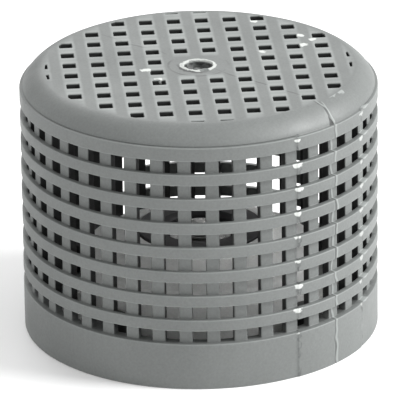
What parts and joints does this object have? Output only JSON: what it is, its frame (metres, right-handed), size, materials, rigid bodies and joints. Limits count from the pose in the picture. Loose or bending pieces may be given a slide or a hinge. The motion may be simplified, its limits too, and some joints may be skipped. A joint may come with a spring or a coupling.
{
  "type": "foot valve",
  "caption": "Plastic foot valve: a round strainer basket with square openings over a flanged body with a spring-closed poppet, a raised seat and a threaded pipe socket.",
  "frame": {"origin": "on the valve's axis, in the plane of the rim that the basket and the flange stand on", "axes": "+Z along the valve's axis from the pipe socket to the perforated top of the basket; +X and +Y along the rows of the top's lattice"},
  "size_m": [0.0632, 0.0632, 0.0482],
  "materials": {
    "basket_plastic": "satin moulded",
    "body_plastic": "satin moulded",
    "steel": "satin",
    "brass": "turned",
    "rubber": "matt moulded",
    "white_acetal": "satin moulded",
    "black_acetal": "satin moulded"
  },
  "bodies": {
    "housing": {"valve_body": "body_plastic", "strainer_basket": "basket_plastic", "flange_screw_1": "steel", "flange_screw_2": "steel", "flange_screw_3": "steel", "flange_screw_4": "steel", "threaded_insert": "brass", "pipe_gasket": "rubber", "guide_spider": "white_acetal", "guide_bush": "black_acetal", "spring_washer": "steel", "valve_spring": "steel", "seat_ring": "black_acetal", "seat_o_ring": "rubber"},
    "poppet": {"poppet_disc": "black_acetal", "poppet_stem": "steel", "poppet_seal": "rubber", "seal_plate": "steel", "lock_washer": "steel", "stem_nut": "steel"}
  },
  "joints": [
    {"name": "poppet_slide", "type": "slide", "parent": "housing", "child": "poppet", "axis": [0, 0, -1], "range_m": [0, 0.002], "stiffness_N_per_m": 150, "springref_m": -0.004, "deforming": ["valve_spring"]}
  ]
}
